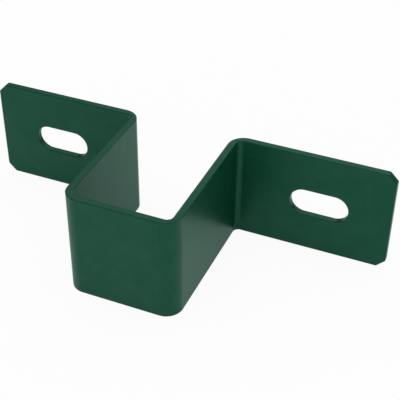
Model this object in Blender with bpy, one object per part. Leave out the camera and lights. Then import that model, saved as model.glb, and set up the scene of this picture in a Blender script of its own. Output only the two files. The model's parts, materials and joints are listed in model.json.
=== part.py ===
"""Wall post bracket, folded from one flat steel strap.

The strap is folded into a square-cornered hat, seen from above: a front plate, two side walls that run back
to the wall, and two ears that lie flat on the wall. A fence post stands in the hat, and a screw through the
slot of each ear holds it all to the wall.

Metres. +Z runs up along the post and across the strap's width, X runs along the wall from ear to ear, and
+Y points into the wall. The origin is below the middle of the bracket, on the level of its lower edge.
"""

import math

import bmesh
import bpy
from mathutils import Vector

# The strap
STRAP_WIDTH = 0.045
STRAP_THICKNESS = 0.003

# The room for the post: a 40 by 60 mm post, with a little to spare
POST_GAP_WIDTH = 0.041
POST_GAP_DEPTH = 0.062

# From a side wall's outer face to the end of its ear
EAR_REACH = 0.065

# The folds, where the strap is stretched a little thinner than it is elsewhere
INNER_FOLD_RADIUS = 0.0025
OUTER_FOLD_RADIUS = 0.007

# The slots, each at the middle of the strap's width
SLOT_LENGTH = 0.0245
SLOT_WIDTH = 0.012
SLOT_END_FROM_EAR_END = 0.0175

# The corners cut off the ears, and the coating's round over every edge
CORNER_CUT = 0.0035
EDGE_ROUND = 0.0005

# How finely the round forms are divided
FOLD_STEPS = 12
SLOT_END_STEPS = 16
EDGE_STEPS = 2
SHARP_ANGLE = math.radians(30)

# Halves that meet are joined within this distance
MERGE_DISTANCE = 0.00001

# Places that follow from the sizes above
OVERALL_DEPTH = STRAP_THICKNESS + POST_GAP_DEPTH
FRONT_Y = -OVERALL_DEPTH / 2
FRONT_INNER_Y = FRONT_Y + STRAP_THICKNESS
WALL_Y = OVERALL_DEPTH / 2
WALL_INNER_X = POST_GAP_WIDTH / 2
WALL_OUTER_X = WALL_INNER_X + STRAP_THICKNESS
EAR_END_X = WALL_OUTER_X + EAR_REACH
EAR_FRONT_Y = WALL_Y - STRAP_THICKNESS
SLOT_CENTRE_X = EAR_END_X - SLOT_END_FROM_EAR_END - SLOT_LENGTH / 2

# Moss green powder coat, as linear values
COAT_GREEN = (0.010, 0.056, 0.034, 1.0)
COAT_ROUGHNESS = 0.35


def clear_scene():
    """Remove every object, so that the bracket stands alone."""
    for old in list(bpy.data.objects):
        bpy.data.objects.remove(old, do_unlink=True)


def powder_coat():
    """The coating: a dark green paint with a satin shine over steel."""
    material = bpy.data.materials.new("green_powder_coat")
    material.use_nodes = True
    shader = material.node_tree.nodes["Principled BSDF"]
    shader.inputs["Base Color"].default_value = COAT_GREEN
    shader.inputs["Roughness"].default_value = COAT_ROUGHNESS
    shader.inputs["Metallic"].default_value = 0.0
    material.diffuse_color = COAT_GREEN
    return material


def arc(centre, radius, start, end, steps):
    """Points along a quarter or half circle in a plane, from one angle in degrees to another."""
    points = []
    for step in range(steps + 1):
        angle = math.radians(start + (end - start) * step / steps)
        points.append((centre[0] + radius * math.cos(angle), centre[1] + radius * math.sin(angle)))
    return points


def half_strap_lines():
    """The two long lines of the strap's right half, seen from above, from the middle to the ear's end.

    The first follows the face that is turned away from the post, and the second the face on the post's side.
    The front fold is hollow on the post's side, and the ear's fold is hollow on the other.
    """
    front_round = (WALL_OUTER_X - OUTER_FOLD_RADIUS, FRONT_Y + OUTER_FOLD_RADIUS)
    ear_hollow = (WALL_OUTER_X + INNER_FOLD_RADIUS, EAR_FRONT_Y - INNER_FOLD_RADIUS)
    away = [(0.0, FRONT_Y)]
    away += arc(front_round, OUTER_FOLD_RADIUS, -90, 0, FOLD_STEPS)
    away += arc(ear_hollow, INNER_FOLD_RADIUS, 180, 90, FOLD_STEPS)
    away.append((EAR_END_X, EAR_FRONT_Y))

    front_hollow = (WALL_INNER_X - INNER_FOLD_RADIUS, FRONT_INNER_Y + INNER_FOLD_RADIUS)
    ear_round = (WALL_INNER_X + OUTER_FOLD_RADIUS, WALL_Y - OUTER_FOLD_RADIUS)
    inward = [(0.0, FRONT_INNER_Y)]
    inward += arc(front_hollow, INNER_FOLD_RADIUS, -90, 0, FOLD_STEPS)
    inward += arc(ear_round, OUTER_FOLD_RADIUS, 180, 90, FOLD_STEPS)
    inward.append((EAR_END_X, WALL_Y))
    return away, inward


def fold_half_strap(bm):
    """Lay the strap's lower edge down as a row of faces between its two lines, and raise it to its width."""
    away, inward = half_strap_lines()
    away_verts = [bm.verts.new((x, y, 0.0)) for x, y in away]
    inward_verts = [bm.verts.new((x, y, 0.0)) for x, y in inward]
    for i in range(len(away) - 1):
        bm.faces.new((away_verts[i], inward_verts[i], inward_verts[i + 1], away_verts[i + 1]))
    raised = bmesh.ops.extrude_face_region(bm, geom=bm.faces[:])
    raised_verts = [item for item in raised["geom"] if isinstance(item, bmesh.types.BMVert)]
    bmesh.ops.translate(bm, verts=raised_verts, vec=Vector((0.0, 0.0, STRAP_WIDTH)))


def open_at_middle(bm):
    """Delete the faces in the plane between the two halves, where the mirrored half joins on."""
    middle = [face for face in bm.faces if all(abs(vert.co.x) < MERGE_DISTANCE for vert in face.verts)]
    bmesh.ops.delete(bm, geom=middle, context="FACES")


def cut_ear_corners(bm):
    """Cut the ear's upper and lower outer corner off at 45 degrees."""
    corners = []
    for edge in bm.edges:
        first, second = (vert.co for vert in edge.verts)
        at_ear_end = min(first.x, second.x) > EAR_END_X - MERGE_DISTANCE
        runs_through = abs(first.z - second.z) < MERGE_DISTANCE
        if at_ear_end and runs_through:
            corners.append(edge)
    bmesh.ops.bevel(bm, geom=corners, offset=CORNER_CUT, segments=1, affect="EDGES")


def object_from(bm, name):
    """Turn finished mesh data into an object of the scene, with every face pointing outwards."""
    bmesh.ops.recalc_face_normals(bm, faces=bm.faces[:])
    mesh = bpy.data.meshes.new(name)
    bm.to_mesh(mesh)
    bm.free()
    made = bpy.data.objects.new(name, mesh)
    bpy.context.scene.collection.objects.link(made)
    return made


def mirror_across_middle(target):
    """Add the left half."""
    mirror = target.modifiers.new("Mirror", "MIRROR")
    mirror.use_axis = (True, False, False)
    mirror.merge_threshold = MERGE_DISTANCE


def slot_cutter():
    """A round-ended bar that passes through the right ear, with its mirror image for the left ear."""
    end_radius = SLOT_WIDTH / 2
    end_offset = SLOT_LENGTH / 2 - end_radius
    centre_z = STRAP_WIDTH / 2
    outline = arc((SLOT_CENTRE_X + end_offset, centre_z), end_radius, -90, 90, SLOT_END_STEPS)
    outline += arc((SLOT_CENTRE_X - end_offset, centre_z), end_radius, 90, 270, SLOT_END_STEPS)

    bm = bmesh.new()
    start_y = EAR_FRONT_Y - STRAP_THICKNESS
    face = bm.faces.new([bm.verts.new((x, start_y, z)) for x, z in outline])
    pushed = bmesh.ops.extrude_face_region(bm, geom=[face])
    pushed_verts = [item for item in pushed["geom"] if isinstance(item, bmesh.types.BMVert)]
    bmesh.ops.translate(bm, verts=pushed_verts, vec=Vector((0.0, 3 * STRAP_THICKNESS, 0.0)))
    cutter = object_from(bm, "slot_cutter")
    mirror_across_middle(cutter)
    cutter.hide_render = True
    cutter.display_type = "WIRE"
    return cutter


def cut_slots(strap):
    """Punch the slot through each ear."""
    cut = strap.modifiers.new("Slots", "BOOLEAN")
    cut.operation = "DIFFERENCE"
    cut.solver = "EXACT"
    cut.object = slot_cutter()


def round_edges(strap):
    """Round every edge over, as the coating does."""
    bevel = strap.modifiers.new("Edge round", "BEVEL")
    bevel.width = EDGE_ROUND
    bevel.segments = EDGE_STEPS
    bevel.limit_method = "ANGLE"
    bevel.angle_limit = SHARP_ANGLE


def build_folded_strap():
    """The whole bracket, which is one piece of steel."""
    bm = bmesh.new()
    fold_half_strap(bm)
    open_at_middle(bm)
    cut_ear_corners(bm)
    strap = object_from(bm, "folded_strap")
    mirror_across_middle(strap)
    cut_slots(strap)
    round_edges(strap)
    strap.data.shade_smooth()
    strap.data.set_sharp_from_angle(angle=SHARP_ANGLE)
    strap.data.materials.append(powder_coat())
    return strap


clear_scene()
build_folded_strap()
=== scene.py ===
"""Wall post bracket: one folded steel strap in a dark green powder coat, on a white studio table.

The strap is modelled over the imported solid, from the same sizes, with finer folds, slots and rounded edges.
Metres. +Z runs up along the post, X runs along the wall from ear to ear, and +Y points into the wall.
"""

import json
import math

import bmesh
import bpy
from mathutils import Matrix, Vector


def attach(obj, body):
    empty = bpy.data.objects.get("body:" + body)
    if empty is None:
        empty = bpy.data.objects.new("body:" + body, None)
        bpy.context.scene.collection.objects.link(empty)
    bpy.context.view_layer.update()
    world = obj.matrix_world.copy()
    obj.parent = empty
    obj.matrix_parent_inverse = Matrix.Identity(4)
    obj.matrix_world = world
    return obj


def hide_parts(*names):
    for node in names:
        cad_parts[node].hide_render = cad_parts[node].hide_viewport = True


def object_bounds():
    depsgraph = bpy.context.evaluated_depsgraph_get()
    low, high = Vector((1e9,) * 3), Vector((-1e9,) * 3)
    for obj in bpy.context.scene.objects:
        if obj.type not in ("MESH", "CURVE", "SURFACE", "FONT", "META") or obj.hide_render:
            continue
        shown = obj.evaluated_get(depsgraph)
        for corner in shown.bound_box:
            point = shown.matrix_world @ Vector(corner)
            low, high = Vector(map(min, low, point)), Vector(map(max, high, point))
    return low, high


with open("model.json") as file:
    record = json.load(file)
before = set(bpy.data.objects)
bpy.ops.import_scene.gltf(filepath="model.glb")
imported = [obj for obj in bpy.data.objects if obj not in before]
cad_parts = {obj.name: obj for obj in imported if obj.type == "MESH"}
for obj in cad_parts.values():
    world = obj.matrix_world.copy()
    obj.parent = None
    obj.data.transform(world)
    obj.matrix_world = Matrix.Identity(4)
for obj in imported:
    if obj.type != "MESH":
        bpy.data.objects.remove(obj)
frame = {"record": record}
PACKED_LOW, PACKED_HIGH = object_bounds()

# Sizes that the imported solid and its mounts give
MOUNT_AT = {mount["name"]: Vector(mount["pos_m"]) for mount in frame["record"]["mounts"]}
STRAP_WIDTH = PACKED_HIGH.z
FRONT_Y = PACKED_LOW.y
FRONT_INNER_Y = MOUNT_AT["post_seat_front"].y
STRAP_THICKNESS = FRONT_INNER_Y - FRONT_Y
WALL_Y = PACKED_HIGH.y
EAR_FRONT_Y = WALL_Y - STRAP_THICKNESS
WALL_INNER_X = MOUNT_AT["post_side_right"].x
WALL_OUTER_X = WALL_INNER_X + STRAP_THICKNESS
EAR_END_X = PACKED_HIGH.x
SLOT_CENTRE_X = MOUNT_AT["screw_seat_right"].x

# The folds, slots and cut corners, as in the solid
INNER_FOLD_RADIUS = 0.0025
OUTER_FOLD_RADIUS = 0.007
SLOT_LENGTH = 0.0245
SLOT_WIDTH = 0.012
CORNER_CUT = 0.0035

# The coat's round over every edge, crisper than the solid's
EDGE_ROUND = 0.00034

# How finely the round forms are divided
FOLD_STEPS = 32
SLOT_END_STEPS = 32
EDGE_STEPS = 5
SMOOTH_ANGLE = math.radians(30)
FLAT_ANGLE = math.radians(1)

# Points closer than this are one point
SAME_PLACE = 0.000001

# How near to its place a picked edge is, and the least share of a picked face's normal along its axis
NEAR_PLACE = STRAP_THICKNESS / 100
FACING = 0.9

# The axes, by number
Y_AXIS = 1
Z_AXIS = 2

# The bevel profile of a true round
ROUND_PROFILE = 0.5

# The coat: a dark moss green, as linear values, where it is thick and where it is thin, and how clearly
# the two part
COAT_GREEN = (0.0, 0.0525, 0.0252)
COAT_GREEN_THIN = (0.0040, 0.0598, 0.0289)
COAT_MOTTLE_CONTRAST = 4.0

# The coat's satin gloss, which keeps some green at a low angle, and how far the grain varies its roughness
COAT_ROUGHNESS = 0.35
COAT_ROUGHNESS_SPREAD = 0.08
COAT_METAL_SHARE = 0.30
COAT_GLOSS_LEVEL = 0.39
COAT_GLOSS_TINT = (0.5, 1.0, 0.85)

# The coat's unevenness, in waves a metre: its clouds, its shallow ripple and its grain
CLOUD_SCALE = 110.0
RIPPLE_SCALE = 300.0
GRAIN_SCALE = 1400.0

# How many finer layers each has, how strong these are, and the value that all of them vary about
CLOUD_DETAIL = 3.0
RIPPLE_DETAIL = 3.0
GRAIN_DETAIL = 2.0
NOISE_ROUGHNESS = 0.5
NOISE_MIDDLE = 0.5

# The tone follows the clouds by this share, and the ripple by the rest
CLOUD_SHARE = 0.6

# The bump follows the ripple by this share, and the grain by the rest
RIPPLE_SHARE = 0.8
BUMP_STRENGTH = 0.25
BUMP_HEIGHT = 0.00005

# A colour mix's sockets by number, because its sockets for numbers and vectors have the same names
MIX_FIRST = 6
MIX_SECOND = 7
MIX_RESULT = 2

# The camera looks at a point inside the bracket, from the right, the front and above
CAMERA_TARGET = Vector((0.01889, 0.00125, 0.03285))
CAMERA_DISTANCE = 0.3700
CAMERA_AZIMUTH = math.radians(22.58)
CAMERA_ELEVATION = math.radians(36.37)
CAMERA_ROLL = math.radians(0.65)
CAMERA_LENS = 86.13
CAMERA_NEAR = 0.01
SENSOR_WIDTH = 36.0

# The studio: how much of the table's white the camera sees, and how much the coat's gloss reflects
TABLE_SIZE = 8.0
TABLE_THICKNESS = 0.03
TABLE_EDGE_ROUND = 0.01
TABLE_EDGE_STEPS = 4
TABLE_COLOUR = (0.90, 0.90, 0.90)
TABLE_WHITE_SEEN = 0.92
TABLE_WHITE_REFLECTED = 0.38
ROOM_LIGHT = 0.79
LAMP_DISTANCE = 1.5
WHITE = (1.0, 1.0, 1.0, 1.0)

# The room that the gloss reflects: white above the back, and dark with a soft edge round it, by cosines
BRIGHT_WAY = (0.1, 0.6, 0.79)
BRIGHT_FROM = 0.84
DIM_FROM = 0.67
DIM_LEVEL = 0.03


def only(thing):
    """Select one object and make it the active one."""
    bpy.ops.object.select_all(action="DESELECT")
    thing.select_set(True)
    bpy.context.view_layer.objects.active = thing


def new_block(name, low, high):
    """A block between two corners, with its place and size in its mesh."""
    bpy.ops.object.select_all(action="DESELECT")
    bpy.ops.mesh.primitive_cube_add(size=1, location=(low + high) / 2, scale=high - low)
    block = bpy.context.active_object
    block.name = name
    bpy.ops.object.transform_apply(location=True, rotation=True, scale=True)
    return block


def pick(thing, kind, wanted):
    """In edit mode, select just the parts that wanted() says: faces for kind FACE, and edges for EDGE."""
    bpy.ops.mesh.select_mode(type=kind)
    bpy.ops.mesh.select_all(action="DESELECT")
    bm = bmesh.from_edit_mesh(thing.data)
    for part in bm.faces if kind == "FACE" else bm.edges:
        if wanted(part):
            part.select_set(True)
    bmesh.update_edit_mesh(thing.data)


def push_out(run):
    """Extrude the selected faces along a vector."""
    bpy.ops.mesh.extrude_region_move(TRANSFORM_OT_translate={"value": run})


def round_off(radius, steps):
    """Round the selected edges."""
    bpy.ops.mesh.bevel(
        offset=radius, segments=steps, profile=ROUND_PROFILE, affect="EDGES", clamp_overlap=False)


def along(edge, axis):
    """Whether an edge runs along an axis."""
    run = edge.verts[1].co - edge.verts[0].co
    return abs(run[axis]) > run.length - SAME_PLACE


def near(value, place):
    """Whether a coordinate is at a place."""
    return abs(value - place) < NEAR_PLACE


def middle(edge):
    """An edge's middle point."""
    return (edge.verts[0].co + edge.verts[1].co) / 2


def apply(thing, kind, **settings):
    """Add a modifier, set it and apply it."""
    only(thing)
    bpy.ops.object.modifier_add(type=kind)
    modifier = thing.modifiers[-1]
    for setting, value in settings.items():
        setattr(modifier, setting, value)
    bpy.ops.object.modifier_apply(modifier=modifier.name)


def draw_out_hat(strap):
    """Draw the walls and the ears out of the front plate, with square corners."""
    for side in (1, -1):
        bpy.ops.mesh.select_all(action="SELECT")
        bpy.ops.mesh.bisect(plane_co=(side * WALL_INNER_X, 0, 0), plane_no=(1, 0, 0))
    pick(strap, "FACE", lambda face: face.normal.y > FACING
         and abs(face.calc_center_median().x) > WALL_INNER_X)
    push_out((0, EAR_FRONT_Y - FRONT_INNER_Y, 0))
    push_out((0, STRAP_THICKNESS, 0))
    for side in (-1, 1):
        pick(strap, "FACE", lambda face: face.normal.x * side > FACING
             and face.calc_center_median().x * side > WALL_INNER_X
             and face.calc_center_median().y > EAR_FRONT_Y)
        push_out((side * (EAR_END_X - WALL_OUTER_X), 0, 0))
    bpy.ops.mesh.select_all(action="SELECT")
    bpy.ops.mesh.dissolve_limited(angle_limit=FLAT_ANGLE)
    bpy.ops.mesh.normals_make_consistent(inside=False)


def round_folds(strap):
    """Round the four folds, each with a wide outer and a tight inner curve."""
    outer_places = ((WALL_OUTER_X, FRONT_Y), (WALL_INNER_X, WALL_Y))
    inner_places = ((WALL_INNER_X, FRONT_INNER_Y), (WALL_OUTER_X, EAR_FRONT_Y))
    for places, radius in ((outer_places, OUTER_FOLD_RADIUS), (inner_places, INNER_FOLD_RADIUS)):
        pick(strap, "EDGE", lambda edge: along(edge, Z_AXIS) and any(
            near(abs(middle(edge).x), x) and near(middle(edge).y, y) for x, y in places))
        round_off(radius, FOLD_STEPS)


def cut_ear_corners(strap):
    """Cut the four outer corners of the ears off at 45 degrees."""
    pick(strap, "EDGE", lambda edge: along(edge, Y_AXIS) and near(abs(middle(edge).x), EAR_END_X))
    round_off(CORNER_CUT, 1)


def slot_punch(side):
    """A bar with half-round ends, as the punch that makes one ear's slot."""
    centre = Vector((side * SLOT_CENTRE_X, (EAR_FRONT_Y + WALL_Y) / 2, STRAP_WIDTH / 2))
    half = Vector((SLOT_LENGTH / 2, STRAP_THICKNESS, SLOT_WIDTH / 2))
    punch = new_block("slot_punch", centre - half, centre + half)
    bpy.ops.object.mode_set(mode="EDIT")
    pick(punch, "EDGE", lambda edge: along(edge, Y_AXIS))
    round_off(SLOT_WIDTH / 2, SLOT_END_STEPS)
    bpy.ops.mesh.select_all(action="SELECT")
    bpy.ops.mesh.remove_doubles(threshold=SAME_PLACE)
    bpy.ops.object.mode_set(mode="OBJECT")
    return punch


def punch_slots(strap):
    """Punch a slot through each ear."""
    for side in (-1, 1):
        punch = slot_punch(side)
        apply(strap, "BOOLEAN", operation="DIFFERENCE", solver="EXACT", object=punch)
        only(punch)
        bpy.ops.object.delete()


def soften_edges(strap):
    """Round every edge as the coat does, within the strap's width, and shade the flat faces flat."""
    apply(strap, "BEVEL", width=EDGE_ROUND, segments=EDGE_STEPS,
          limit_method="ANGLE", angle_limit=SMOOTH_ANGLE)
    for vert in strap.data.vertices:
        vert.co.z = min(max(vert.co.z, 0.0), STRAP_WIDTH)
    only(strap)
    bpy.ops.object.shade_smooth_by_angle(angle=SMOOTH_ANGLE)
    apply(strap, "WEIGHTED_NORMAL", keep_sharp=True)


def make_strap():
    """The whole bracket, drawn out of its front plate."""
    plate_low = Vector((-WALL_OUTER_X, FRONT_Y, 0))
    plate_high = Vector((WALL_OUTER_X, FRONT_INNER_Y, STRAP_WIDTH))
    strap = new_block("coated_strap", plate_low, plate_high)
    bpy.ops.object.mode_set(mode="EDIT")
    draw_out_hat(strap)
    round_folds(strap)
    cut_ear_corners(strap)
    bpy.ops.object.mode_set(mode="OBJECT")
    punch_slots(strap)
    soften_edges(strap)
    return strap


class Value:
    """A socket of a material, with sums that add Math nodes."""

    def __init__(self, paint, socket):
        self.paint = paint
        self.socket = socket

    def _math(self, operation, first, second):
        return self.paint.node("ShaderNodeMath", {"operation": operation}, {0: first, 1: second})

    def __add__(self, other):
        return self._math("ADD", self, other)

    def __radd__(self, other):
        return self._math("ADD", other, self)

    def __sub__(self, other):
        return self._math("SUBTRACT", self, other)

    def __rsub__(self, other):
        return self._math("SUBTRACT", other, self)

    def __mul__(self, other):
        return self._math("MULTIPLY", self, other)

    def __rmul__(self, other):
        return self._math("MULTIPLY", other, self)

    def largest(self, other):
        """The larger of two values."""
        return self._math("MAXIMUM", self, other)


class Paint:
    """A material or a world, and the one way in which it gets its nodes."""

    def __init__(self, owner):
        owner.use_nodes = True
        self.owner = owner
        self.tree = owner.node_tree
        self.tree.nodes.clear()

    def node(self, kind, settings=None, inputs=None, output=0):
        """Add a node: its settings first, then the values or links of its sockets. Gives one output."""
        made = self.tree.nodes.new(kind)
        for setting, value in (settings or {}).items():
            setattr(made, setting, value)
        for name, value in (inputs or {}).items():
            if isinstance(value, Value):
                self.tree.links.new(value.socket, made.inputs[name])
            else:
                made.inputs[name].default_value = value
        return Value(self, made.outputs[output]) if made.outputs else None

    def noise(self, where, scale, detail):
        """Soft noise about 0.5, with its scale in waves a metre."""
        return self.node("ShaderNodeTexNoise", inputs={
            "Vector": where, "Scale": scale, "Detail": detail, "Roughness": NOISE_ROUGHNESS})

    def blend(self, share, first, second):
        """A mix of two colours."""
        return self.node("ShaderNodeMix", {"data_type": "RGBA"}, {
            "Factor": share, MIX_FIRST: first, MIX_SECOND: second}, output=MIX_RESULT)

    def ray(self, name):
        """1 for the named kind of ray, and 0 for any other."""
        return self.node("ShaderNodeLightPath", output=name)


def powder_coat():
    """A baked powder coat: satin, dark green, with a shallow ripple and a hardly visible change of tone."""
    coat = Paint(bpy.data.materials.new("green_powder_coat"))
    place = coat.node("ShaderNodeTexCoord", output="Object")
    cloud = coat.noise(place, CLOUD_SCALE, CLOUD_DETAIL)
    ripple = coat.noise(place, RIPPLE_SCALE, RIPPLE_DETAIL)
    grain = coat.noise(place, GRAIN_SCALE, GRAIN_DETAIL)
    mottle = cloud * CLOUD_SHARE + ripple * (1 - CLOUD_SHARE)
    thin = (mottle - NOISE_MIDDLE) * COAT_MOTTLE_CONTRAST + NOISE_MIDDLE
    tone = coat.blend(thin, (*COAT_GREEN, 1.0), (*COAT_GREEN_THIN, 1.0))
    height = ripple * RIPPLE_SHARE + grain * (1 - RIPPLE_SHARE)
    bump = coat.node("ShaderNodeBump", inputs={
        "Strength": BUMP_STRENGTH, "Distance": BUMP_HEIGHT, "Height": height})
    shader = coat.node("ShaderNodeBsdfPrincipled", inputs={
        "Base Color": tone,
        "Roughness": COAT_ROUGHNESS - COAT_ROUGHNESS_SPREAD / 2 + grain * COAT_ROUGHNESS_SPREAD,
        "Metallic": COAT_METAL_SHARE,
        "Specular IOR Level": COAT_GLOSS_LEVEL,
        "Specular Tint": (*COAT_GLOSS_TINT, 1.0),
        "Normal": bump,
    })
    coat.node("ShaderNodeOutputMaterial", inputs={"Surface": shader})
    return coat.owner


def table_white():
    """A pale table that shows white, and keeps a faint part of its shadows."""
    white = Paint(bpy.data.materials.new("table_white"))
    board = white.node("ShaderNodeBsdfDiffuse", inputs={"Color": (*TABLE_COLOUR, 1.0)})
    glow = white.node("ShaderNodeEmission", inputs={"Color": WHITE, "Strength": 1.0})
    share = (white.ray("Is Camera Ray") * TABLE_WHITE_SEEN).largest(
        white.ray("Is Glossy Ray").largest(white.ray("Is Transmission Ray")) * TABLE_WHITE_REFLECTED)
    surface = white.node("ShaderNodeMixShader", inputs={0: share, 1: board, 2: glow})
    white.node("ShaderNodeOutputMaterial", inputs={"Surface": surface})
    return white.owner


def make_table():
    """A square board with rounded edges, whose top is at the strap's lower edge."""
    half = TABLE_SIZE / 2
    board = new_block("studio_table", Vector((-half, -half, -TABLE_THICKNESS)), Vector((half, half, 0)))
    apply(board, "BEVEL", width=TABLE_EDGE_ROUND, segments=TABLE_EDGE_STEPS, limit_method="ANGLE")
    board.data.materials.append(table_white())
    return board


def light_room():
    """An even light from all round, in which the camera sees white.

    The gloss reflects a room that is white above the back and dark elsewhere, with a soft edge between.
    """
    world = bpy.data.worlds.new("studio")
    bpy.context.scene.world = world
    room = Paint(world)
    way = room.node("ShaderNodeTexCoord", output="Generated")
    part = room.node(
        "ShaderNodeVectorMath", {"operation": "DOT_PRODUCT"}, {0: way, 1: BRIGHT_WAY}, output="Value")
    shade = room.node("ShaderNodeMapRange", {"interpolation_type": "SMOOTHSTEP"}, {
        "Value": part, "From Min": DIM_FROM, "From Max": BRIGHT_FROM, "To Min": DIM_LEVEL, "To Max": 1.0})
    reflected = room.ray("Is Glossy Ray").largest(room.ray("Is Transmission Ray"))
    even = room.ray("Is Diffuse Ray") * ROOM_LIGHT
    level = room.ray("Is Camera Ray").largest(reflected * shade).largest(even)
    glow = room.node("ShaderNodeBackground", inputs={"Color": WHITE, "Strength": level})
    room.node("ShaderNodeOutputWorld", inputs={"Surface": glow})


def soft_box(name, azimuth, elevation, width, height, power):
    """A rectangular lamp that faces the bracket. Azimuth 0 is in front of it, and 90 on its right."""
    turn, rise = math.radians(azimuth), math.radians(elevation)
    away = Vector((math.sin(turn) * math.cos(rise), -math.cos(turn) * math.cos(rise), math.sin(rise)))
    bpy.ops.object.select_all(action="DESELECT")
    facing = away.to_track_quat("Z", "Y").to_euler()
    bpy.ops.object.light_add(type="AREA", location=away * LAMP_DISTANCE, rotation=facing)
    lamp = bpy.context.active_object
    lamp.name = name
    lamp.data.shape = "RECTANGLE"
    lamp.data.size = width
    lamp.data.size_y = height
    lamp.data.energy = power


def place_camera():
    """The camera, turned a little about its own line of sight."""
    back = Vector((
        math.sin(CAMERA_AZIMUTH) * math.cos(CAMERA_ELEVATION),
        -math.cos(CAMERA_AZIMUTH) * math.cos(CAMERA_ELEVATION),
        math.sin(CAMERA_ELEVATION)))
    right = Vector((math.cos(CAMERA_AZIMUTH), math.sin(CAMERA_AZIMUTH), 0))
    up = back.cross(right)
    level = Matrix((right, up, back)).transposed()
    turned = level @ Matrix.Rotation(CAMERA_ROLL, 3, "Z")
    bpy.ops.object.select_all(action="DESELECT")
    bpy.ops.object.camera_add(location=CAMERA_TARGET + CAMERA_DISTANCE * back, rotation=turned.to_euler())
    camera = bpy.context.active_object
    camera.data.lens = CAMERA_LENS
    camera.data.sensor_width = SENSOR_WIDTH
    camera.data.clip_start = CAMERA_NEAR
    bpy.context.scene.camera = camera


strap = make_strap()
strap.data.materials.append(powder_coat())
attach(strap, "root")
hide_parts("folded_strap")

make_table()
light_room()
soft_box("front_light", azimuth=0, elevation=12, width=0.8, height=0.6, power=2.2)
soft_box("key_light", azimuth=32, elevation=50, width=0.25, height=0.25, power=1.2)
soft_box("top_light", azimuth=0, elevation=88, width=1.2, height=1.2, power=3.0)
place_camera()
bpy.context.scene.view_settings.view_transform = "Standard"
